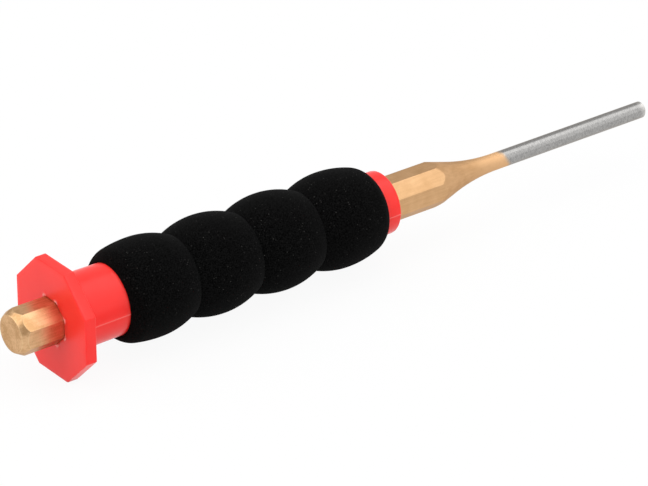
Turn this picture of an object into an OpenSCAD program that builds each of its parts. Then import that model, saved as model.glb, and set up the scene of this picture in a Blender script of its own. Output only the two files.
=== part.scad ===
// Pin punch with a hand guard: an octagonal steel punch, a moulded guard sleeve
// pushed over its shank, and a lobed foam grip stretched over the sleeve.
// Lengths are in millimetres and angles in degrees. +X runs along the punch from its
// struck face to its tip. The punch lies on one flat of the guard's flange, at z = 0.

/* [Punch] */
// Overall length from the struck face to the tip
punch_l = 216; // [190:1:260]
// Width of the octagonal shank across its flats
shank_af = 12; // [10:0.5:13]
// Diameter of the flat struck face
face_d = 10.3; // [8.5:0.1:10.5]
// Slope of the head's chamfer to the axis
head_angle = 30; // [20:1:45]
// Rounding of the rim of the struck face
head_rim_r = 0.5; // [0.2:0.1:1.2]
// Slope of the neck's cone to the axis
neck_angle = 15.5; // [12:0.5:20]
// Radius of the hollow sweep that runs the neck into the pin
neck_sweep_r = 60; // [40:1:70]
// Diameter of the pin
pin_d = 4.8; // [3:0.1:6]
// Length of the parallel pin, with its chamfered tip
pin_l = 54.8; // [35:0.5:65]
// Chamfer at the edge of the tip
tip_chamfer = 0.5; // [0.1:0.1:0.8]

/* [Guard sleeve] */
// Bare head of the shank behind the guard
head_l = 12.5; // [8:0.5:20]
// Width of the octagonal flange across its flats
flange_af = 31.5; // [29:0.5:40]
// Thickness of the flange
flange_t = 3.4; // [2:0.1:6]
// Diameter of the sleeve where it leaves the flange
sleeve_rear_d = 20.4; // [19:0.1:21]
// Diameter of the sleeve at its nose
sleeve_nose_d = 17.9; // [17:0.1:19]
// Bare sleeve between the flange and the grip
collar_l = 14.7; // [8:0.1:25]
// Bare sleeve in front of the grip
nose_l = 4.7; // [2:0.1:10]
// Fillet between the flange and the sleeve
flange_fillet_r = 0.8; // [0.3:0.1:2]
// Rounding of the outer edge of the nose
nose_round_r = 0.5; // [0.2:0.1:1]
// Gap between each flat of the shank and the bore
bore_clearance = 0.05; // [0.02:0.01:0.2]
// Diameter of the relief groove in each corner of the bore
relief_d = 1.1; // [0.6:0.1:1.6]

/* [Foam grip] */
// Number of finger lobes
lobe_count = 4; // [2:1:5]
// Distance from the crest of one lobe to the next
lobe_pitch = 20.8; // [18:0.1:26]
// Foam left under the notches between lobes, over the sleeve where it leaves the flange
notch_wall = 1.25; // [0.8:0.05:3]
// Height of a lobe's crest above the notches
lobe_rise = 2.4; // [1.5:0.1:3.5]
// How much lower each lobe stands than the one behind it
lobe_fall = 0.1; // [0:0.05:0.3]
// Distance from the rear lobe's crest to the rear end face
rear_run = 11.2; // [10:0.1:14]
// How much wider than a lobe's arc the fuller arc behind the rear crest is, in radius
rear_arc_gain = 15; // [5:0.5:40]
// Distance from the front lobe's crest to the front end face
front_run = 12.4; // [11:0.1:14]
// How much wider than a lobe's arc the fuller arc before the front crest is, in radius
front_arc_gain = 6; // [5:0.5:40]
// Radius of the tight round that finishes each end
end_round_r = 6; // [4:0.5:7]
// Height of the narrow end face above the sleeve
end_lip = 0.5; // [0.3:0.1:1]
// Gap between the sleeve and the grip's bore
grip_clearance = 0.02; // [0:0.01:0.1]

/* [Hidden] */
$fn = 96;
// Overrun that lets a cut pass clear through a face
over = 1;
// How far one arc stands past the line or arc it runs into, so that the two cross cleanly
arc_crossing = 0.004;
// How far an end lobe's own arc carries past its crest, under the fuller arc of that end
crest_lap = 3;

// The bar, the flange and the bore are octagons
sides = 8;
// An octagon's corner radius is its half width times this ratio
corner_ratio = 1 / cos(180 / sides);
axis_z = flange_af / 2;
pin_r = pin_d / 2;
neck_x = punch_l - pin_l;
// Radius that the turned outline reaches past the corners of the octagonal bar
turned_r = shank_af / 2 * corner_ratio + over;

// Places along the sleeve, measured from the flange's head-side face
grip_x = flange_t + collar_l;
grip_l = rear_run + (lobe_count - 1) * lobe_pitch + front_run;
sleeve_l = grip_x + grip_l + nose_l;
sleeve_slope = atan((sleeve_rear_d - sleeve_nose_d) / 2 / (sleeve_l - flange_t));
bore_af = shank_af + 2 * bore_clearance;

// Each lobe is an arc through two notches and over one crest
lobe_arc_r = (pow(lobe_pitch / 2, 2) + pow(lobe_rise, 2)) / (2 * lobe_rise);

// Radius of a lobe's crest, counted from the rear lobe as 0
function crest_r(k) = sleeve_rear_d / 2 + notch_wall + lobe_rise - k * lobe_fall;

// Radius of the sleeve's cone at a distance from the flange's head-side face
function sleeve_r(x) = sleeve_rear_d / 2 - (x - flange_t) * tan(sleeve_slope);

// Stands what is drawn along +Z on the punch's axis, x from the struck face
module on_axis(x) {
    translate([x - punch_l / 2, 0, axis_z]) rotate([0, 90, 0]) children();
}

// Octagonal bar along +Z with its flats square to X and Y
module octagon_bar(across_flats, l) {
    rotate(180 / sides) cylinder(r = across_flats / 2 * corner_ratio, h = l, $fn = sides);
}

// What a round takes off an outer corner. The round's centre is the origin, the corner lies
// towards +X and +Y, and the round begins where y is start.
module corner_waste(round_r, start) {
    difference() {
        translate([0, start]) square(2 * round_r);
        circle(r = round_r + arc_crossing);
    }
}

// Half outline of the punch as it is turned: head chamfer, neck, pin and tip
module punch_outline() {
    rim_tangent = head_rim_r * tan((90 - head_angle) / 2);
    sweep_start_r = pin_r + neck_sweep_r * (1 - cos(neck_angle));
    sweep_start_x = neck_x - neck_sweep_r * sin(neck_angle);
    difference() {
        polygon([
            [0, 0],
            [face_d / 2, 0],
            [turned_r, (turned_r - face_d / 2) / tan(head_angle)],
            [turned_r, sweep_start_x - (turned_r - sweep_start_r) / tan(neck_angle)],
            [sweep_start_r, sweep_start_x],
            [pin_r, neck_x],
            [pin_r, punch_l - tip_chamfer],
            [pin_r - tip_chamfer, punch_l],
            [0, punch_l]
        ]);
        translate([face_d / 2 - rim_tangent, head_rim_r]) mirror([0, 1])
            corner_waste(head_rim_r, head_rim_r * sin(head_angle));
        translate([pin_r + neck_sweep_r, neck_x]) circle(r = neck_sweep_r);
    }
}

module punch() {
    color("#c9a06a") on_axis(0) intersection() {
        octagon_bar(shank_af, punch_l);
        rotate_extrude() punch_outline();
    }
}

// Half outline of the sleeve: filleted root at the flange, draft, rounded nose
module sleeve_outline() {
    root_x = flange_t + flange_fillet_r;
    root_r = sleeve_r(root_x) + flange_fillet_r / cos(sleeve_slope);
    nose_r = sleeve_nose_d / 2;
    nose_tangent = nose_round_r * tan((90 - sleeve_slope) / 2);
    difference() {
        polygon([
            [0, 0],
            [root_r, 0],
            [root_r, flange_t],
            [sleeve_r(root_x), root_x],
            [nose_r, sleeve_l],
            [0, sleeve_l]
        ]);
        translate([root_r, root_x]) circle(r = flange_fillet_r + arc_crossing);
        translate([nose_r - nose_tangent, sleeve_l - nose_round_r])
            corner_waste(nose_round_r, nose_round_r * sin(sleeve_slope));
    }
}

module guard_sleeve() {
    relief_place_r = bore_af / 2 * corner_ratio;
    color("#e8382f") on_axis(head_l) difference() {
        union() {
            octagon_bar(flange_af, flange_t);
            rotate_extrude() sleeve_outline();
        }
        translate([0, 0, -over]) {
            octagon_bar(bore_af, sleeve_l + 2 * over);
            for (k = [0:sides - 1])
                rotate((k + 0.5) * 360 / sides) translate([relief_place_r, 0])
                    cylinder(d = relief_d, h = sleeve_l + 2 * over);
        }
    }
}

// One lobe's arc between two places along the grip, drawn about its crest
module lobe_slice(top_r, from_x, to_x) {
    intersection() {
        translate([top_r - lobe_arc_r, 0]) circle(r = lobe_arc_r);
        translate([0, from_x]) square([2 * top_r, to_x - from_x]);
    }
}

// Outer half of an end lobe, drawn about its crest and run out along +Y: a fuller arc than the
// lobe's own goes over into a tight round, which comes down to a narrow end face of radius end_r
module lobe_end(top_r, arc_r, run, end_r) {
    centre_r = top_r - arc_r - arc_crossing;
    step = arc_r - end_round_r + arc_crossing;
    reach = norm([end_r - centre_r, run]);
    lean = atan2(run, end_r - centre_r);
    turn = lean - acos((pow(reach, 2) + pow(step, 2) - pow(end_round_r, 2)) / (2 * step * reach));
    round_centre_r = centre_r + step * cos(turn);
    intersection() {
        translate([centre_r, 0]) circle(r = arc_r);
        square([2 * top_r, run]);
        union() {
            square([2 * top_r, arc_r * sin(turn)]);
            square([round_centre_r, run]);
            translate([round_centre_r, step * sin(turn)]) circle(r = end_round_r);
        }
    }
}

// Half outline of the grip before its bore is cut, x from its rear end face
module grip_outline() {
    last = lobe_count - 1;
    lap = lobe_pitch / 2 + over;
    rear_end_r = sleeve_r(grip_x) + grip_clearance + end_lip;
    front_end_r = sleeve_r(grip_x + grip_l) + grip_clearance + end_lip;
    for (k = [0:last])
        translate([0, rear_run + k * lobe_pitch])
            lobe_slice(crest_r(k), k > 0 ? -lap : -crest_lap, k < last ? lap : crest_lap);
    translate([0, rear_run]) mirror([0, 1])
        lobe_end(crest_r(0), lobe_arc_r + rear_arc_gain, rear_run, rear_end_r);
    translate([0, rear_run + last * lobe_pitch])
        lobe_end(crest_r(last), lobe_arc_r + front_arc_gain, front_run, front_end_r);
}

// Half outline of the grip's bore, which follows the sleeve's draft
module grip_bore() {
    polygon([
        [0, -over],
        [sleeve_r(grip_x - over) + grip_clearance, -over],
        [sleeve_r(grip_x + grip_l + over) + grip_clearance, grip_l + over],
        [0, grip_l + over]
    ]);
}

module foam_grip() {
    color("#161616") on_axis(head_l + grip_x) rotate_extrude() difference() {
        grip_outline();
        grip_bore();
    }
}

punch();
guard_sleeve();
foam_grip();
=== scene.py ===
"""Pin punch with a hand guard: a gold-lacquered steel punch, a red moulded guard sleeve and a
lobed black foam grip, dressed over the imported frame. Sizes are in millimetres, as on the drawing,
and are turned into metres when a point is placed. An outline is drawn as points (s, r): s runs
along the axis and r is the distance from it."""

import math

import bmesh
import bpy
from mathutils import Matrix, Vector


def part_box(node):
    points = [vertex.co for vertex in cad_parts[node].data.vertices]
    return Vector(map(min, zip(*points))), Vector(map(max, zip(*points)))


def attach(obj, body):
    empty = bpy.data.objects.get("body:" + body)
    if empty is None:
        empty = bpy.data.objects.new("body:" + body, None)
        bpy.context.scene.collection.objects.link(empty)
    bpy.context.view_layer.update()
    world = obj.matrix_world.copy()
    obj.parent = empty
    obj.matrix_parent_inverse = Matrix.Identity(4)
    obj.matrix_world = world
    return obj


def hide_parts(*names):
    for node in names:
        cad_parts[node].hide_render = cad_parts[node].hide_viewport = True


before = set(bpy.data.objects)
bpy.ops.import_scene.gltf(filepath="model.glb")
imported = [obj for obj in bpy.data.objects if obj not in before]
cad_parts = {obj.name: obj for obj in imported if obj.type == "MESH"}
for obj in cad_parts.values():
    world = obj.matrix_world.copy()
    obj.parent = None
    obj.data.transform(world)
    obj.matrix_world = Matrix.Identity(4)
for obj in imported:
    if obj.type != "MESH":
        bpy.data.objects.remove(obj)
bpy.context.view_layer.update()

MM = 0.001
# From one flat of an octagon to the next, and from the middle of a flat to a corner
EIGHTH = math.pi / 4
SIXTEENTH = math.pi / 8

# Where the frame puts the axis, the struck face and the flange's head-side face, in metres
punch_low, punch_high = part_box("punch")
guard_low, guard_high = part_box("guard_sleeve")
grip_low, grip_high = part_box("foam_grip")
AXIS_Z = (guard_low[2] + guard_high[2]) / 2
FACE_X = punch_low[0]
FLANGE_X = guard_low[0]

# Punch
PUNCH_L = (punch_high[0] - FACE_X) / MM
SHANK_AF = 12.0
SHANK_CORNER_ROUND = 0.15
FACE_D = 10.3
HEAD_ANGLE = math.radians(30)
HEAD_RIM_ROUND = 0.5
FACET_EDGE_BREAK = 0.15
NECK_ANGLE = math.radians(15.5)
NECK_SWEEP_R = 60.0
PIN_R = 2.4
PIN_L = 54.8
TIP_CHAMFER = 0.5
LACQUER_END = 164.4
# Shares of the surface painted pale, as wear and as a painted highlight, and the place on the rim
# where it is palest
HEAD_WEAR_AND_HIGHLIGHT = 0.4
TIP_WEAR_AND_HIGHLIGHT = 0.6
RIM_PALEST_S = 0.12

# Guard sleeve
HEAD_L = (FLANGE_X - FACE_X) / MM
SLEEVE_L = (guard_high[0] - FLANGE_X) / MM
FLANGE_AF = (guard_high[2] - guard_low[2]) / MM
FLANGE_T = 3.4
FLANGE_CORNER_ROUND = 0.5
FLANGE_EDGE_ROUND = 0.3
FLANGE_FILLET_R = 0.8
SLEEVE_REAR_R = 10.2
SLEEVE_NOSE_R = 8.95
SLEEVE_SLOPE = (SLEEVE_REAR_R - SLEEVE_NOSE_R) / (SLEEVE_L - FLANGE_T)
NOSE_ROUND = 0.5
BORE_CLEARANCE = 0.05
BORE_AF = SHANK_AF + 2 * BORE_CLEARANCE
BORE_CORNER_ROUND = 0.01
BORE_EDGE_ROUND = 0.08
RELIEF_R = 0.55
# Lip of plastic that each corner of the bar pushes up at the mouth of its relief, and that closes it
LIP_H = 0.22
LIP_W = 0.9
LIP_DEPTH = 0.4
LIP_HALF_ANGLE = math.radians(9)
LIP_STEPS = 6
# Parting line: a fine flash, on a ridge that the draft of the two mould halves leaves
FLASH_H = 0.1
FLASH_HALF_ANGLE = math.radians(0.9)
DRAFT_RIDGE_H = 0.06
DRAFT_RIDGE_ANGLE = math.radians(12)
MOULD_STEP = 0.05
# Shares of the plastic's colour painted pale as highlights: glints on the lips at the bar's corners,
# and a line along the flash
LIP_GLINT = 0.7
NOSE_FLASH_HIGHLIGHT = 0.45
COLLAR_FLASH_HIGHLIGHT = 0.35

# Foam grip
GRIP_START = (grip_low[0] - FACE_X) / MM
GRIP_L = (grip_high[0] - grip_low[0]) / MM
CREST_R = (grip_high[2] - grip_low[2]) / 2 / MM
LOBE_COUNT = 4
LOBE_PITCH = 20.8
LOBE_RISE = 2.4
LOBE_FALL = 0.1
REAR_RUN = 11.2
# The two end lobes run out on arcs of larger radius
REAR_ARC_GAIN = 15.0
FRONT_ARC_GAIN = 6.0
END_ROUND_R = 6.0
END_LIP = 0.5
GRIP_CLEARANCE = 0.02

# Meshes: the least angle of a sharp edge, the gap across which points merge, and the distance from
# a surface within which a point counts as on it
SHARP_ANGLE = math.radians(35)
MERGE_GAP = 0.002
TOUCH = 0.02

# Picture: 648 pixels wide, seen through a long lens
PICTURE_W = 648
FOCAL_PIXELS = 4000
SENSOR_W = 36.0
CAMERA_TURN = math.radians(-37.681)
CAMERA_RISE = math.radians(27.867)
CAMERA_DISTANCE = 1026.522
# The picture's middle, from a point on the axis just in front of the struck face
MIDDLE_FROM = 0.5
MIDDLE_RIGHT = 79.984
MIDDLE_UP = 23.311

# Studio: half the floor's width, in metres, and the strength of the room's own light
FLOOR_HALF = 6.0
ROOM_LIGHT = 0.65

# Sockets of a Mix node, which go by number because those of its data types share their names
FACTOR = 0
FLOAT_A = 2
FLOAT_B = 3
COLOUR_A = 6
COLOUR_B = 7
COLOUR_OUT = 2


def linear(hex_colour):
    """Linear colour of an sRGB hex value."""
    parts = [int(hex_colour[i : i + 2], 16) / 255 for i in (1, 3, 5)]
    return [c / 12.92 if c <= 0.04045 else ((c + 0.055) / 1.055) ** 2.4 for c in parts] + [1.0]


def per_metre(size_mm):
    """Texture scale that repeats about once in a length in millimetres."""
    return 1 / (size_mm * MM)


def add_node(tree, kind, inputs=None, out=0, **settings):
    """Adds a node with its settings. Each input is a value, or the output that feeds it. Returns one
    of the node's outputs, or the node itself where out is None."""
    node = tree.nodes.new(kind)
    for name, value in settings.items():
        setattr(node, name, value)
    for key, value in (inputs or {}).items():
        if isinstance(value, bpy.types.NodeSocket):
            tree.links.new(value, node.inputs[key])
        else:
            node.inputs[key].default_value = value
    return node if out is None else node.outputs[out]


def new_material(name):
    """An empty material and its node tree."""
    material = bpy.data.materials.new(name)
    material.use_nodes = True
    material.node_tree.nodes.clear()
    return material, material.node_tree


# Materials


def lacquered_steel():
    """Ground tool steel under a thin gold lacquer, which stops short of the bare pin. The lacquer is
    a warm satin metal with faint lengthwise marks on the drawn flats. It is duller on the turned
    neck, and thinner, paler and duller still towards its edge. On the struck head it is smoother,
    with stronger lengthwise marks, and its rim and edges are painted pale, as a little wear and as a
    painted highlight. The pin is grey and speckled with fine marks from the grinding wheel, and its
    tip's chamfer is painted pale in the same way."""
    material, tree = new_material("gold lacquer over ground steel")
    place = add_node(tree, "ShaderNodeTexCoord", out="Object")

    # The lacquer was dipped on: its edge leans by a millimetre either way, wanders in waves of 2 mm,
    # and fades
    lean = (1.0, 0.1, 0.5)
    wander_w = 1.6 * MM
    fade = 1.2 * MM
    edge = FACE_X + LACQUER_END * MM + lean[2] * AXIS_Z + wander_w / 2
    level = add_node(
        tree, "ShaderNodeVectorMath", {0: place, 1: lean}, out="Value", operation="DOT_PRODUCT"
    )
    wander = add_node(
        tree, "ShaderNodeTexNoise", {"Vector": place, "Scale": per_metre(2.0), "Detail": 3.0}
    )
    level = add_node(
        tree, "ShaderNodeMath", {0: wander, 1: wander_w, 2: level}, operation="MULTIPLY_ADD"
    )
    bare = add_node(
        tree,
        "ShaderNodeMapRange",
        {"Value": level, "From Min": edge - fade, "From Max": edge + fade},
        interpolation_type="SMOOTHSTEP",
    )

    # Lacquer pools lightly in patches 4 mm across, over a grain drawn at 0.4 mm so that it shows
    patches = add_node(
        tree, "ShaderNodeTexNoise", {"Vector": place, "Scale": per_metre(4.0), "Detail": 2.0}
    )
    grain = add_node(
        tree,
        "ShaderNodeTexNoise",
        {"Vector": place, "Scale": per_metre(0.4), "Detail": 2.0, "Roughness": 0.6},
    )
    # Drawing marks run along the bar: 0.1 mm wide, drawn at 0.6 mm so that they show
    stretch = add_node(tree, "ShaderNodeMapping", {"Vector": place, "Scale": (0.06, 1.0, 1.0)})
    drawn = add_node(
        tree, "ShaderNodeTexNoise", {"Vector": stretch, "Scale": per_metre(0.6), "Detail": 3.0}
    )
    tone = add_node(
        tree, "ShaderNodeMix", {FACTOR: 0.3, FLOAT_A: patches, FLOAT_B: grain}, data_type="FLOAT"
    )
    tone = add_node(
        tree, "ShaderNodeMix", {FACTOR: 0.35, FLOAT_A: tone, FLOAT_B: drawn}, data_type="FLOAT"
    )
    # Blows and handling have brought the lacquer's tones out on the head, and rubbed it smoother. The
    # change from head to shank lies out of sight, in the first 5 mm of the guard's bore
    along = add_node(tree, "ShaderNodeSeparateXYZ", {0: place}, out="X")
    handled = add_node(
        tree,
        "ShaderNodeMapRange",
        {
            "Value": along,
            "From Min": FLANGE_X,
            "From Max": FLANGE_X + 5 * MM,
            "To Min": 1.0,
            "To Max": 0.0,
        },
    )
    shank_contrast = 2.5
    head_gain = 3.5
    contrast = add_node(
        tree, "ShaderNodeMath", {0: handled, 1: head_gain, 2: shank_contrast}, operation="MULTIPLY_ADD"
    )
    middle = 0.5
    tone = add_node(tree, "ShaderNodeMath", {0: tone, 1: middle}, operation="SUBTRACT")
    tone = add_node(
        tree,
        "ShaderNodeMath",
        {0: tone, 1: contrast, 2: middle},
        operation="MULTIPLY_ADD",
        use_clamp=True,
    )
    gold = add_node(
        tree,
        "ShaderNodeMix",
        {FACTOR: tone, COLOUR_A: linear("#c4996b"), COLOUR_B: linear("#e0b689")},
        out=COLOUR_OUT,
        data_type="RGBA",
    )
    # The film runs thin over its last 16 mm, and the edges of the head are painted pale, as wear and
    # as a painted highlight
    thin = add_node(
        tree,
        "ShaderNodeMapRange",
        {"Value": level, "From Min": edge - 16 * MM, "From Max": edge - 1 * MM},
        interpolation_type="SMOOTHSTEP",
    )
    gold = add_node(
        tree,
        "ShaderNodeMix",
        {FACTOR: thin, COLOUR_A: gold, COLOUR_B: linear("#e6bd8f")},
        out=COLOUR_OUT,
        data_type="RGBA",
    )
    wear_and_highlight = add_node(tree, "ShaderNodeAttribute", out="Fac", attribute_name="wear_and_highlight")
    gold = add_node(
        tree,
        "ShaderNodeMix",
        {FACTOR: wear_and_highlight, COLOUR_A: gold, COLOUR_B: linear("#f2d3a4")},
        out=COLOUR_OUT,
        data_type="RGBA",
    )

    # Grinding marks run across the pin in short lengths, drawn at 0.4 mm so that they show
    squash = add_node(tree, "ShaderNodeMapping", {"Vector": place, "Scale": (1.0, 0.6, 0.6)})
    ground = add_node(
        tree,
        "ShaderNodeTexNoise",
        {"Vector": squash, "Scale": per_metre(0.4), "Detail": 3.0, "Roughness": 0.7},
    )
    tone = add_node(tree, "ShaderNodeMapRange", {"Value": ground, "From Min": 0.3, "From Max": 0.7})
    steel = add_node(
        tree,
        "ShaderNodeMix",
        {FACTOR: tone, COLOUR_A: linear("#8c8b8a"), COLOUR_B: linear("#b2b1af")},
        out=COLOUR_OUT,
        data_type="RGBA",
    )
    # The tip's chamfer is painted pale, as wear and as a painted highlight
    steel = add_node(
        tree,
        "ShaderNodeMix",
        {FACTOR: wear_and_highlight, COLOUR_A: steel, COLOUR_B: linear("#dddbd7")},
        out=COLOUR_OUT,
        data_type="RGBA",
    )
    colour = add_node(
        tree,
        "ShaderNodeMix",
        {FACTOR: bare, COLOUR_A: gold, COLOUR_B: steel},
        out=COLOUR_OUT,
        data_type="RGBA",
    )

    marks = add_node(
        tree, "ShaderNodeMix", {FACTOR: 0.5, FLOAT_A: drawn, FLOAT_B: grain}, data_type="FLOAT"
    )
    marks = add_node(
        tree, "ShaderNodeMix", {FACTOR: bare, FLOAT_A: marks, FLOAT_B: ground}, data_type="FLOAT"
    )
    rough = add_node(tree, "ShaderNodeMapRange", {"Value": marks, "To Min": 0.2, "To Max": 0.36})
    # The lacquer blurs the metal's gloss, more on the turned neck and where it runs thin
    turned = add_node(tree, "ShaderNodeAttribute", out="Fac", attribute_name="turned")
    satin = add_node(tree, "ShaderNodeMapRange", {"Value": turned, "To Min": 0.14, "To Max": 0.22})
    thin_blur = 0.14
    satin = add_node(
        tree, "ShaderNodeMath", {0: thin, 1: thin_blur, 2: satin}, operation="MULTIPLY_ADD"
    )
    satin = add_node(
        tree, "ShaderNodeMix", {FACTOR: bare, FLOAT_A: satin, FLOAT_B: 0.0}, data_type="FLOAT"
    )
    rough = add_node(tree, "ShaderNodeMath", {0: rough, 1: satin}, operation="ADD")
    head_polish = -0.07
    rough = add_node(
        tree, "ShaderNodeMath", {0: handled, 1: head_polish, 2: rough}, operation="MULTIPLY_ADD"
    )
    relief = add_node(
        tree, "ShaderNodeBump", {"Height": marks, "Strength": 0.12, "Distance": 0.05 * MM}
    )
    shader = add_node(
        tree,
        "ShaderNodeBsdfPrincipled",
        {
            "Base Color": colour,
            "Metallic": 1.0,
            "Roughness": rough,
            "Normal": relief,
            "Specular Tint": linear("#e8e2dc"),
        },
    )
    add_node(tree, "ShaderNodeOutputMaterial", {"Surface": shader}, out=None)
    return material


def red_plastic():
    """Injection-moulded polypropylene, coloured red right through. The sleeve has a satin gloss from
    a polished mould, and the flange's face is duller. Light soaks a little way into it, so that thin
    edges glow. Pale highlights are painted into its colour, as glints at the corners of the bar and
    as a line along the flash."""
    material, tree = new_material("moulded red polypropylene")
    place = add_node(tree, "ShaderNodeTexCoord", out="Object")
    # Faint flow marks from the moulding, about 6 mm across
    flow = add_node(
        tree, "ShaderNodeTexNoise", {"Vector": place, "Scale": per_metre(6.0), "Detail": 2.0}
    )
    colour = add_node(
        tree,
        "ShaderNodeMix",
        {FACTOR: flow, COLOUR_A: linear("#f12823"), COLOUR_B: linear("#f62f29")},
        out=COLOUR_OUT,
        data_type="RGBA",
    )
    # Pale highlights painted into the colour: glints on the lips at the bar's corners and a line along
    # the flash
    painted_highlight = add_node(tree, "ShaderNodeAttribute", out="Fac", attribute_name="painted_highlight")
    colour = add_node(
        tree,
        "ShaderNodeMix",
        {FACTOR: painted_highlight, COLOUR_A: colour, COLOUR_B: linear("#f7a39c")},
        out=COLOUR_OUT,
        data_type="RGBA",
    )
    # Polished mould with a slight orange peel, 0.8 mm from wave to wave
    peel = add_node(
        tree, "ShaderNodeTexNoise", {"Vector": place, "Scale": per_metre(0.8), "Detail": 2.0}
    )
    rough = add_node(tree, "ShaderNodeMapRange", {"Value": peel, "To Min": 0.26, "To Max": 0.36})
    # The flange's face is duller, down to 0.3 mm behind it
    along = add_node(tree, "ShaderNodeSeparateXYZ", {0: place}, out="X")
    dull = add_node(
        tree,
        "ShaderNodeMapRange",
        {
            "Value": along,
            "From Min": FLANGE_X,
            "From Max": FLANGE_X + 0.3 * MM,
            "To Min": 0.04,
            "To Max": 0.0,
        },
    )
    rough = add_node(tree, "ShaderNodeMath", {0: rough, 1: dull}, operation="ADD")
    relief = add_node(
        tree, "ShaderNodeBump", {"Height": peel, "Strength": 0.06, "Distance": 0.05 * MM}
    )
    shader = add_node(
        tree,
        "ShaderNodeBsdfPrincipled",
        {
            "Base Color": colour,
            "Roughness": rough,
            "Normal": relief,
            "Specular IOR Level": 0.35,
            "Subsurface Weight": 0.6,
            "Subsurface Radius": (1.0, 0.2, 0.15),
            "Subsurface Scale": 2.0 * MM,
        },
    )
    add_node(tree, "ShaderNodeOutputMaterial", {"Surface": shader}, out=None)
    return material


def black_foam():
    """Moulded nitrile foam rubber with a fine closed cell. It is deep matt black, with a soft bloom
    where it turns away from the eye, and here and there a pale speck painted in, as a grain of dust
    and as a glint off a cell wall."""
    material, tree = new_material("closed-cell nitrile foam")
    place = add_node(tree, "ShaderNodeTexCoord", out="Object")
    # Cells 0.1 mm across, drawn at 0.32 mm so that they show
    cells = add_node(
        tree,
        "ShaderNodeTexNoise",
        {"Vector": place, "Scale": per_metre(0.32), "Detail": 2.0, "Roughness": 0.6},
    )
    tone = add_node(tree, "ShaderNodeMapRange", {"Value": cells, "From Min": 0.38, "From Max": 0.7})
    body = add_node(
        tree,
        "ShaderNodeMix",
        {FACTOR: tone, COLOUR_A: linear("#010101"), COLOUR_B: linear("#131313")},
        out=COLOUR_OUT,
        data_type="RGBA",
    )
    # Pale specks 0.2 mm across, one in eight of the cells of a 0.55 mm pattern, painted in as dust and
    # as glints off cell walls
    specks = add_node(
        tree, "ShaderNodeTexVoronoi", {"Vector": place, "Scale": per_metre(0.55)}, out=None
    ).outputs
    near = add_node(
        tree,
        "ShaderNodeMapRange",
        {"Value": specks["Distance"], "From Min": 0.1, "From Max": 0.3, "To Min": 1.0, "To Max": 0.0},
    )
    pick = add_node(tree, "ShaderNodeSeparateColor", {"Color": specks["Color"]}, out="Red")
    pick = add_node(tree, "ShaderNodeMapRange", {"Value": pick, "From Min": 0.88, "From Max": 1.0})
    dust_and_glint = add_node(tree, "ShaderNodeMath", {0: near, 1: pick}, operation="MULTIPLY")
    colour = add_node(
        tree,
        "ShaderNodeMix",
        {FACTOR: dust_and_glint, COLOUR_A: body, COLOUR_B: linear("#434240")},
        out=COLOUR_OUT,
        data_type="RGBA",
    )
    relief = add_node(
        tree, "ShaderNodeBump", {"Height": cells, "Strength": 0.5, "Distance": 0.1 * MM}
    )
    shader = add_node(
        tree,
        "ShaderNodeBsdfPrincipled",
        {
            "Base Color": colour,
            "Roughness": 0.95,
            "Normal": relief,
            "Specular IOR Level": 0.0,
            "Sheen Weight": 0.028,
            "Sheen Roughness": 0.5,
        },
    )
    add_node(tree, "ShaderNodeOutputMaterial", {"Surface": shader}, out=None)
    return material


def white_floor():
    """Matt white studio floor. The camera and the metal see it mostly as plain white, with a soft
    shadow left under the punch."""
    material, tree = new_material("matt white studio floor")
    matt = add_node(tree, "ShaderNodeBsdfDiffuse", {"Color": linear("#e6e6e6")})
    plain = add_node(tree, "ShaderNodeEmission", {"Color": linear("#ffffff"), "Strength": 1.0})
    ray = add_node(tree, "ShaderNodeLightPath", out=None).outputs
    seen = add_node(
        tree, "ShaderNodeMath", {0: ray["Is Camera Ray"], 1: ray["Is Glossy Ray"]}, operation="MAXIMUM"
    )
    seen = add_node(
        tree, "ShaderNodeMath", {0: seen, 1: ray["Is Transmission Ray"]}, operation="MAXIMUM"
    )
    plain_share = 0.93
    share = add_node(tree, "ShaderNodeMath", {0: seen, 1: plain_share}, operation="MULTIPLY")
    mixed = add_node(tree, "ShaderNodeMixShader", {"Fac": share, 1: matt, 2: plain})
    add_node(tree, "ShaderNodeOutputMaterial", {"Surface": mixed}, out=None)
    return material


# Shapes


def place_point(s, r, angle):
    """A point in the frame: s from the struck face, r from the axis, angle from +Y towards +Z."""
    return Vector((FACE_X + s * MM, r * math.cos(angle) * MM, AXIS_Z + r * math.sin(angle) * MM))


def arc(s, r, radius, start, end, steps):
    """Points (s, r) on an arc about a centre, with angles from +s towards +r in degrees."""
    turns = [math.radians(start + (end - start) * k / steps) for k in range(steps + 1)]
    return [(s + radius * math.cos(t), r + radius * math.sin(t)) for t in turns]


def run(start, end, steps):
    """Points (s, r) along a straight line, without its two ends."""
    shares = [k / steps for k in range(1, steps)]
    return [tuple(a + (b - a) * share for a, b in zip(start, end)) for share in shares]


def octagon_radius(angle, across_flats, corner_round):
    """Distance from the axis to an octagon with rounded corners and flats square to Y and Z."""
    flat = across_flats / 2
    off_flat = abs((angle + SIXTEENTH) % EIGHTH - SIXTEENTH)
    if flat * math.tan(off_flat) <= (flat - corner_round) * math.tan(SIXTEENTH):
        return flat / math.cos(off_flat)
    turn = SIXTEENTH - off_flat
    centre = (flat - corner_round) / math.cos(SIXTEENTH)
    return centre * math.cos(turn) + math.sqrt(corner_round**2 - (centre * math.sin(turn)) ** 2)


def octagon_angles(across_flats, corner_round, flat_steps, corner_steps):
    """Angles that follow an octagon's flats and its rounded corners."""
    flat = across_flats / 2
    reach = (flat - corner_round) * math.tan(SIXTEENTH)
    centre = (flat - corner_round) / math.cos(SIXTEENTH)
    angles = []
    for side in range(8):
        for k in range(flat_steps + 1):
            angles.append(side * EIGHTH + math.atan2(reach * (2 * k / flat_steps - 1), flat))
        for k in range(1, corner_steps):
            turn = EIGHTH * (k / corner_steps - 0.5)
            lean = math.atan2(corner_round * math.sin(turn), centre + corner_round * math.cos(turn))
            angles.append((side + 0.5) * EIGHTH + lean)
    return angles


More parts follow.
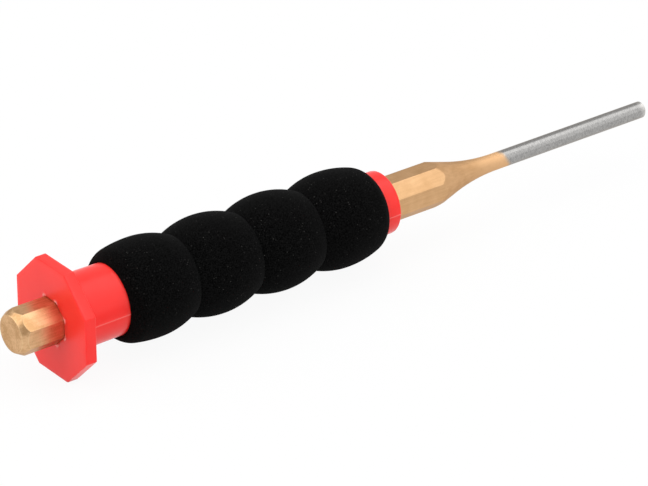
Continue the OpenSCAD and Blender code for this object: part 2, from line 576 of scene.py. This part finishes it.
def turned_piece(name, outline, angles, material, ring, marks):
    """A mesh object drawn, at each angle around the axis, as the same number of (s, r) points. A ring
    closes from its last point to its first. Otherwise both ends run in to the axis. The marks are
    attributes of the points that the material reads, each with its share at (s, r, angle)."""
    rows = list(zip(*(outline(angle) for angle in angles)))
    count = len(angles)
    shape = bmesh.new()
    shares = {shape.verts.layers.float.new(mark): share for mark, share in marks.items()}
    grid = []
    for row in rows:
        closed = not ring and row in (rows[0], rows[-1])
        points = [(s, r, angle) for (s, r), angle in zip(row, angles)][: 1 if closed else count]
        corners = [shape.verts.new(place_point(*point)) for point in points]
        for corner, point in zip(corners, points):
            for mark, share in shares.items():
                corner[mark] = share(*point)
        grid.append(corners * count if closed else corners)
    for low, high in zip(grid, grid[1:] + (grid[:1] if ring else [])):
        for k in range(count):
            corners = [low[k], low[(k + 1) % count], high[(k + 1) % count], high[k]]
            shape.faces.new(list(dict.fromkeys(corners)))
    mesh = bpy.data.meshes.new(name)
    mesh.materials.append(material)
    return finished_piece(name, mesh, shape)


def finished_piece(name, mesh, shape):
    """A piece in the scene. The shape goes into the mesh with its faces turned outwards, and is smooth
    apart from its sharp edges."""
    bmesh.ops.recalc_face_normals(shape, faces=shape.faces)
    shape.to_mesh(mesh)
    shape.free()
    mesh.shade_smooth()
    mesh.set_sharp_from_angle(angle=SHARP_ANGLE)
    piece = bpy.data.objects.new(name, mesh)
    bpy.context.collection.objects.link(piece)
    return piece


def bar_radius(angle):
    """Distance from the axis to the octagonal bar that the punch is turned from."""
    return octagon_radius(angle, SHANK_AF, SHANK_CORNER_ROUND)


def chamfer_end(angle):
    """Place along the bar where the head's chamfer reaches its surface."""
    return (bar_radius(angle) - FACE_D / 2) / math.tan(HEAD_ANGLE)


def turned_share(s, r, angle):
    """Whether a point is on the neck or the pin, which are turned from the bar: 1 or 0."""
    return 1.0 if s > HEAD_L and r < bar_radius(angle) - TOUCH else 0.0


def wear_and_highlight_share(s, r, angle):
    """Share of pale colour at a point, painted as wear and as a highlight: on the rim of the struck
    face, on the broken edges between the head's chamfer and the flats, and on the tip's chamfer."""
    if s > PUNCH_L - TIP_CHAMFER - TOUCH:
        return TIP_WEAR_AND_HIGHLIGHT if r > PIN_R - TIP_CHAMFER - TOUCH else 0.0
    if s < HEAD_RIM_ROUND:
        return HEAD_WEAR_AND_HIGHLIGHT * max(0.0, 1 - abs(s - RIM_PALEST_S) / RIM_PALEST_S)
    return HEAD_WEAR_AND_HIGHLIGHT * max(0.0, 1 - abs(s - chamfer_end(angle)) / FACET_EDGE_BREAK)


def broken_edge(s, r, angle, side):
    """Points (s, r) over the slightly broken edge where a flat begins, with side 1, or ends, with
    side -1, at a cone of some angle."""
    depth = FACET_EDGE_BREAK * math.tan(angle) / 4
    places = (-1.0, -0.5, 0.0, 0.5, 1.0)
    return [(s + k * FACET_EDGE_BREAK, r - depth * (1 - side * k) ** 2) for k in places]


def punch_outline(angle):
    """Outline of the punch at one angle: face, rim, chamfer, flat, neck cone, sweep, pin and tip."""
    bar = bar_radius(angle)
    rim_r = FACE_D / 2 - HEAD_RIM_ROUND * math.tan((math.pi / 2 - HEAD_ANGLE) / 2)
    rim_end = 90 + math.degrees(HEAD_ANGLE)
    points = [(0, 0)] + run((0, 0), (0, rim_r), steps=6)
    points += arc(HEAD_RIM_ROUND, rim_r, HEAD_RIM_ROUND, start=180, end=rim_end, steps=6)
    # The flat begins where the chamfer reaches it
    edge = broken_edge(chamfer_end(angle), bar, HEAD_ANGLE, side=1)
    points += run(points[-1], edge[0], steps=4) + edge
    # It ends in a scallop where the neck's cone cuts it
    neck_s = PUNCH_L - PIN_L
    sweep_s = neck_s - NECK_SWEEP_R * math.sin(NECK_ANGLE)
    sweep_r = PIN_R + NECK_SWEEP_R * (1 - math.cos(NECK_ANGLE))
    edge = broken_edge(sweep_s - (bar - sweep_r) / math.tan(NECK_ANGLE), bar, NECK_ANGLE, side=-1)
    points += run(points[-1], edge[0], steps=30) + edge
    points += run(points[-1], (sweep_s, sweep_r), steps=6)
    sweep_from = -90 - math.degrees(NECK_ANGLE)
    points += arc(neck_s, PIN_R + NECK_SWEEP_R, NECK_SWEEP_R, start=sweep_from, end=-90, steps=20)
    chamfer = [(PUNCH_L - TIP_CHAMFER, PIN_R), (PUNCH_L, PIN_R - TIP_CHAMFER)]
    points += run(points[-1], chamfer[0], steps=30) + [chamfer[0]]
    points += run(*chamfer, steps=2) + [chamfer[1]]
    return points + run(chamfer[1], (PUNCH_L, 0), steps=4) + [(PUNCH_L, 0)]


def off_corner(angle):
    """Angle from the nearest corner of the octagons."""
    return angle % EIGHTH - SIXTEENTH


def off_parting(angle):
    """Angle from the nearer of the parting lines at +Y and -Y."""
    return abs((angle + math.pi / 2) % math.pi - math.pi / 2)


def mouth_radius(angle):
    """The octagon of the guard's bore, without its reliefs."""
    return octagon_radius(angle, BORE_AF, BORE_CORNER_ROUND)


def bore_radius(angle):
    """The guard's bore: an octagon with a round relief in each corner."""
    corner_r = BORE_AF / 2 / math.cos(SIXTEENTH)
    side = corner_r * math.sin(off_corner(angle))
    if abs(side) >= RELIEF_R:
        return mouth_radius(angle)
    relief = corner_r * math.cos(off_corner(angle)) + math.sqrt(RELIEF_R**2 - side**2)
    return max(mouth_radius(angle), relief)


def sleeve_radius(s):
    """Radius of the sleeve's drafted outside, s from the flange's head-side face."""
    return SLEEVE_REAR_R - (s - FLANGE_T) * SLEEVE_SLOPE


def flash_share(angle):
    """Height of the flash on the parting lines, as a share of the full height."""
    return math.exp(-((off_parting(angle) / FLASH_HALF_ANGLE) ** 2))


def parting_height(angle):
    """Height of a parting line and its ridge, over a lower mould half that sits a touch deeper."""
    ridge = DRAFT_RIDGE_H * max(0.0, 1 - off_parting(angle) / DRAFT_RIDGE_ANGLE)
    step = MOULD_STEP if math.sin(angle) < 0 else 0.0
    return FLASH_H * flash_share(angle) + ridge - step


def lip_share(r, angle):
    """Height of the lip that a corner of the bar pushes up, at a distance from the axis, as a share of
    the full height."""
    across = 2 * (r - mouth_radius(angle)) / LIP_W - 1
    return max(0.0, 1 - (off_corner(angle) / LIP_HALF_ANGLE) ** 2) * max(0.0, 1 - across**2)


def highlight_share(s, r, angle):
    """Share of painted highlight at a point: glints on the lips around the bore's mouth, and a line on
    the flash of the parting line, which is palest on the nose."""
    if s < HEAD_L + LIP_DEPTH / 2:
        return LIP_GLINT * lip_share(r, angle)
    outside = s > HEAD_L + FLANGE_T and r > SLEEVE_NOSE_R - NOSE_ROUND
    most = NOSE_FLASH_HIGHLIGHT if s > GRIP_START + GRIP_L else COLLAR_FLASH_HIGHLIGHT
    return most * flash_share(angle) if outside else 0.0


def guard_outline(angle):
    """Outline of the guard at one angle: lip, head-side face, rim, fillet, sleeve, nose and bore."""
    bore = bore_radius(angle)
    mouth = mouth_radius(angle)
    points = [(2 * LIP_DEPTH, bore), (LIP_DEPTH, mouth), (BORE_EDGE_ROUND, mouth)]
    lip = [mouth + LIP_W * k / LIP_STEPS for k in range(1, LIP_STEPS + 1)]
    points += [(-LIP_H * lip_share(r, angle), r) for r in lip]
    rim = octagon_radius(angle, FLANGE_AF, FLANGE_CORNER_ROUND)
    edge = FLANGE_EDGE_ROUND
    points += run(points[-1], (0, rim - edge), steps=8)
    points += arc(edge, rim - edge, edge, start=180, end=90, steps=4)
    points += run(points[-1], (FLANGE_T - edge, rim), steps=3)
    points += arc(FLANGE_T - edge, rim - edge, edge, start=90, end=0, steps=4)
    # The parting line grows out of the fillet at the flange and runs along the sleeve to its nose
    raised = parting_height(angle)
    lean = math.degrees(math.atan(SLEEVE_SLOPE))
    root_s = FLANGE_T + FLANGE_FILLET_R
    root_r = sleeve_radius(root_s) + FLANGE_FILLET_R
    points += run(points[-1], (FLANGE_T, root_r), steps=5)
    fillet = arc(root_s, root_r, FLANGE_FILLET_R, start=180, end=270 - lean, steps=6)
    points += [(s, r + raised * k / (len(fillet) - 1)) for k, (s, r) in enumerate(fillet)]
    nose_s = SLEEVE_L - NOSE_ROUND
    nose_r = SLEEVE_NOSE_R - NOSE_ROUND * math.tan(math.radians((90 - lean) / 2)) + raised
    nose = arc(nose_s, nose_r, NOSE_ROUND, start=90 - lean, end=0, steps=5)
    points += run(points[-1], nose[0], steps=60) + nose
    edge = BORE_EDGE_ROUND
    points += run(points[-1], (SLEEVE_L, bore + edge), steps=4)
    points += arc(SLEEVE_L - edge, bore + edge, edge, start=0, end=-90, steps=4)
    points += run(points[-1], points[0], steps=6)
    return [(HEAD_L + s, r) for s, r in points]


def guard_angles():
    """Even angles, with more of them at the corners of the octagons and at the parting lines."""
    even = range(0, 360, 3)
    corners = [22.5 + 45 * side for side in range(8)]
    off_corners = (0, 0.3, 0.6, 0.9, 1.4, 2.0, 2.6, 3.2, 3.8, 4.3, 4.6, 4.8, 5.2, 6.2, 7.2, 8.2)
    lines = [0, 180]
    off_lines = (0, 0.25, 0.5, 0.8, 1.2, 1.8)
    wanted = set(even)
    for middles, offsets in ((corners, off_corners), (lines, off_lines)):
        for middle in middles:
            for off in offsets:
                wanted |= {round((middle + off) % 360, 3), round((middle - off) % 360, 3)}
    return [math.radians(angle) for angle in sorted(wanted)]


def grip_bore(s):
    """Radius of the grip's bore, s from its rear end."""
    return sleeve_radius(GRIP_START - HEAD_L + s) + GRIP_CLEARANCE


def end_arcs(top_r, arc_r, end_run, end_r):
    """The two arcs that run an end lobe out from its crest to its end face, each as (start, middle,
    end): a full arc, then a tight round. Places are measured outwards from the crest."""
    centre_r = top_r - arc_r
    step = arc_r - END_ROUND_R
    reach = math.hypot(end_r - centre_r, end_run)
    lean = math.atan2(end_run, end_r - centre_r)
    turn = lean - math.acos((reach**2 + step**2 - END_ROUND_R**2) / (2 * step * reach))
    round_s = step * math.sin(turn)
    round_r = centre_r + step * math.cos(turn)
    end_turn = math.atan2(end_run - round_s, end_r - round_r)
    full = [(arc_r * math.sin(t), centre_r + arc_r * math.cos(t)) for t in (0, turn / 2, turn)]
    turns = (turn, (turn + end_turn) / 2, end_turn)
    tight = [(round_s + END_ROUND_R * math.sin(t), round_r + END_ROUND_R * math.cos(t)) for t in turns]
    return full, tight


def grip_arcs():
    """The arcs of the grip's outline, each as (start, middle, end) points (s, r) from its rear end:
    the two of the rear end, the two of one valley between crests, and the two of the front end."""
    arc_r = (LOBE_PITCH**2 / 4 + LOBE_RISE**2) / (2 * LOBE_RISE)
    last_crest = REAR_RUN + (LOBE_COUNT - 1) * LOBE_PITCH
    last_crest_r = CREST_R - (LOBE_COUNT - 1) * LOBE_FALL
    rear_end_r = grip_bore(0) + END_LIP
    front_end_r = grip_bore(GRIP_L) + END_LIP
    rear = end_arcs(CREST_R, arc_r + REAR_ARC_GAIN, REAR_RUN, rear_end_r)
    front = end_arcs(last_crest_r, arc_r + FRONT_ARC_GAIN, GRIP_L - last_crest, front_end_r)
    # A valley's two arcs meet in the notch, where the circles of two neighbouring lobes cross
    apart = math.hypot(LOBE_PITCH, LOBE_FALL)
    out = math.sqrt(arc_r**2 - apart**2 / 4)
    notch_s = LOBE_PITCH / 2 + out * LOBE_FALL / apart
    valley = []
    for turns, lobe_s, lobe_r in (
        ((0, 0.5, 1), 0, CREST_R - arc_r),
        ((1, 0.5, 0), LOBE_PITCH, CREST_R - LOBE_FALL - arc_r),
    ):
        full = math.asin((notch_s - lobe_s) / arc_r)
        places = [(arc_r * math.sin(full * t), arc_r * math.cos(full * t)) for t in turns]
        valley.append([(REAR_RUN + lobe_s + s, lobe_r + r) for s, r in places])
    return {
        "Rear Full Arc": [(REAR_RUN - s, r) for s, r in rear[0]],
        "Rear Tight Round": [(REAR_RUN - s, r) for s, r in rear[1]],
        "Valley Fall": valley[0],
        "Valley Rise": valley[1],
        "Front Full Arc": [(last_crest + s, r) for s, r in front[0]],
        "Front Tight Round": [(last_crest + s, r) for s, r in front[1]],
    }


def lobed_grip(material):
    """The foam grip, made by a node tree: one valley of its outline is repeated from lobe to lobe,
    the ends and the bore are added, and the whole outline is swept around the axis."""
    arcs = grip_arcs()
    arc_parts = ("Start", "Middle", "End")
    tree = bpy.data.node_groups.new("lobed foam grip", "GeometryNodeTree")
    tree.interface.new_socket("Geometry", in_out="OUTPUT", socket_type="NodeSocketGeometry")

    # The outline lies flat, with x for the distance from the axis and y for the place along it
    sizes = {
        "Valley Count": LOBE_COUNT - 1,
        "Valley Step": (-LOBE_FALL * MM, LOBE_PITCH * MM, 0.0),
        "Rear Bore Point": (grip_bore(0) * MM, 0.0, 0.0),
        "Front Bore Point": (grip_bore(GRIP_L) * MM, GRIP_L * MM, 0.0),
        "Axis Place": (FACE_X + GRIP_START * MM, 0.0, AXIS_Z),
        "Points Around": 144,
        "Points Along Arc": 34,
    }
    for name, points in arcs.items():
        for part, (s, r) in zip(arc_parts, points):
            sizes[name + " " + part] = (r * MM, s * MM, 0.0)
    sockets = {}
    for name, value in sizes.items():
        kind = "NodeSocketInt" if isinstance(value, int) else "NodeSocketVector"
        sockets[name] = tree.interface.new_socket(name, in_out="INPUT", socket_type=kind)
    size = add_node(tree, "NodeGroupInput", out=None).outputs

    curves = {}
    for name in arcs:
        points = {part: size[name + " " + part] for part in arc_parts}
        curves[name] = add_node(
            tree,
            "GeometryNodeCurveArc",
            {"Resolution": size["Points Along Arc"], **points},
            mode="POINTS",
        )
    valley = add_node(tree, "GeometryNodeJoinGeometry", {0: curves.pop("Valley Fall")}, out=None)
    tree.links.new(curves.pop("Valley Rise"), valley.inputs[0])
    steps = add_node(
        tree, "GeometryNodeMeshLine", {"Count": size["Valley Count"], "Offset": size["Valley Step"]}
    )
    valleys = add_node(
        tree, "GeometryNodeInstanceOnPoints", {"Points": steps, "Instance": valley.outputs[0]}
    )
    curves["Valleys"] = add_node(tree, "GeometryNodeRealizeInstances", {"Geometry": valleys})
    rear_end = {"Start": size["Rear Tight Round End"], "End": size["Rear Bore Point"]}
    bore = {"Start": size["Rear Bore Point"], "End": size["Front Bore Point"]}
    front_end = {"Start": size["Front Bore Point"], "End": size["Front Tight Round End"]}
    for name, ends in (("Rear End Face", rear_end), ("Bore", bore), ("Front End Face", front_end)):
        curves[name] = add_node(tree, "GeometryNodeCurvePrimitiveLine", ends)
    outline = add_node(tree, "GeometryNodeJoinGeometry", out=None)
    for curve in curves.values():
        tree.links.new(curve, outline.inputs[0])

    # A circle the size of the rear bore carries the outline around, so the outline moves until its
    # rear bore point lies on the circle, and is flipped so that it runs on towards the tip
    bore_r = add_node(tree, "ShaderNodeSeparateXYZ", {0: size["Rear Bore Point"]}, out="X")
    circle = add_node(
        tree,
        "GeometryNodeCurvePrimitiveCircle",
        {"Resolution": size["Points Around"], "Radius": bore_r},
    )
    circle = add_node(tree, "GeometryNodeSetCurveNormal", {"Curve": circle}, mode="Z_UP")
    back = add_node(
        tree, "ShaderNodeVectorMath", {0: size["Rear Bore Point"], "Scale": -1.0}, operation="SCALE"
    )
    outline = add_node(
        tree, "GeometryNodeTransform", {"Geometry": outline.outputs[0], "Translation": back}
    )
    flipped = (1.0, -1.0, 1.0)
    outline = add_node(tree, "GeometryNodeTransform", {"Geometry": outline, "Scale": flipped})
    swept = add_node(tree, "GeometryNodeCurveToMesh", {"Curve": circle, "Profile Curve": outline})
    from_z_to_x = (0.0, math.pi / 2, 0.0)
    swept = add_node(
        tree,
        "GeometryNodeTransform",
        {"Geometry": swept, "Translation": size["Axis Place"], "Rotation": from_z_to_x},
    )
    joined = add_node(
        tree, "GeometryNodeMergeByDistance", {"Geometry": swept, "Distance": MERGE_GAP * MM}
    )
    real = add_node(tree, "GeometryNodeRealizeInstances", {"Geometry": joined})
    foam = add_node(tree, "GeometryNodeSetMaterial", {"Geometry": real, "Material": material})
    add_node(tree, "NodeGroupOutput", {0: foam}, out=None)

    maker = bpy.data.objects.new("grip_maker", bpy.data.meshes.new("grip_maker"))
    bpy.context.collection.objects.link(maker)
    modifier = maker.modifiers.new("lobes", "NODES")
    modifier.node_group = tree
    for name, value in sizes.items():
        modifier[sockets[name].identifier] = value
    ready = maker.evaluated_get(bpy.context.evaluated_depsgraph_get())
    mesh = bpy.data.meshes.new_from_object(ready)
    maker.modifiers.remove(modifier)
    bpy.data.objects.remove(maker)
    shape = bmesh.new()
    shape.from_mesh(mesh)
    return finished_piece("grip_foam", mesh, shape)


# Studio


def softbox(name, toward, distance, width, height, brightness):
    """A rectangle of even light, aimed at the ground under the middle of the punch, with its lengths
    in metres. Its power grows with its area, so that its brightness doesn't depend on its size."""
    lamp = bpy.data.lights.new(name, "AREA")
    lamp.shape = "RECTANGLE"
    lamp.size = width
    lamp.size_y = height
    lamp.energy = brightness * math.pi * width * height
    light = bpy.data.objects.new(name, lamp)
    direction = Vector(toward).normalized()
    light.location = direction * distance
    light.rotation_euler = direction.to_track_quat("Z", "Y").to_euler()
    bpy.context.collection.objects.link(light)


def studio():
    """White floor and a pale room, with softboxes overhead, in front, low to the right and to the
    left."""
    floor = bpy.data.meshes.new("studio_floor")
    corners = [(x * FLOOR_HALF, y * FLOOR_HALF, 0) for x, y in ((-1, -1), (1, -1), (1, 1), (-1, 1))]
    floor.from_pydata(corners, [], [(0, 1, 2, 3)])
    floor.materials.append(white_floor())
    floor_object = bpy.data.objects.new("studio_floor", floor)
    bpy.context.collection.objects.link(floor_object)
    softbox("key_softbox", (0.45, -0.06, 0.89), distance=1.2, width=0.85, height=1.0, brightness=1.25)
    softbox("front_softbox", (0.2, -0.55, 0.8), distance=2.5, width=1.0, height=1.0, brightness=2.3)
    softbox("low_softbox", (0.47, -0.77, 0.43), distance=1.2, width=1.4, height=0.9, brightness=0.6)
    softbox("left_softbox", (-0.6, 0.25, 0.76), distance=1.1, width=1.4, height=1.4, brightness=1.3)
    world = bpy.data.worlds.new("pale studio room")
    bpy.context.scene.world = world
    world.use_nodes = True
    tree = world.node_tree
    tree.nodes.clear()
    room = add_node(tree, "ShaderNodeBackground", {"Color": linear("#ffffff"), "Strength": ROOM_LIGHT})
    add_node(tree, "ShaderNodeOutputWorld", {"Surface": room}, out=None)


def picture_camera():
    """Camera at the picture's angle, over the head end, through a long lens."""
    right = Vector((math.cos(CAMERA_TURN), math.sin(CAMERA_TURN), 0))
    sideways = Vector((-math.sin(CAMERA_TURN), math.cos(CAMERA_TURN), 0))
    up = sideways * math.sin(CAMERA_RISE) + Vector((0, 0, math.cos(CAMERA_RISE)))
    back = right.cross(up)
    middle = place_point(MIDDLE_FROM, 0, 0) + (right * MIDDLE_RIGHT + up * MIDDLE_UP) * MM
    lens = bpy.data.cameras.new("picture_camera")
    lens.sensor_fit = "HORIZONTAL"
    lens.sensor_width = SENSOR_W
    lens.lens = FOCAL_PIXELS / PICTURE_W * SENSOR_W
    lens.clip_start = 0.01
    camera = bpy.data.objects.new("picture_camera", lens)
    turn = Matrix((right, up, back)).transposed().to_4x4()
    camera.matrix_world = Matrix.Translation(middle + back * CAMERA_DISTANCE * MM) @ turn
    bpy.context.collection.objects.link(camera)
    bpy.context.scene.camera = camera


picture_camera()
studio()

punch = turned_piece(
    "punch_steel",
    punch_outline,
    octagon_angles(SHANK_AF, SHANK_CORNER_ROUND, flat_steps=16, corner_steps=4),
    lacquered_steel(),
    ring=False,
    marks={"turned": turned_share, "wear_and_highlight": wear_and_highlight_share},
)
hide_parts("punch")
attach(punch, "root")

guard = turned_piece(
    "guard_moulding",
    guard_outline,
    guard_angles(),
    red_plastic(),
    ring=True,
    marks={"painted_highlight": highlight_share},
)
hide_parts("guard_sleeve")
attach(guard, "root")

grip = lobed_grip(black_foam())
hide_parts("foam_grip")
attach(grip, "root")

bpy.context.scene.view_settings.view_transform = "Standard"
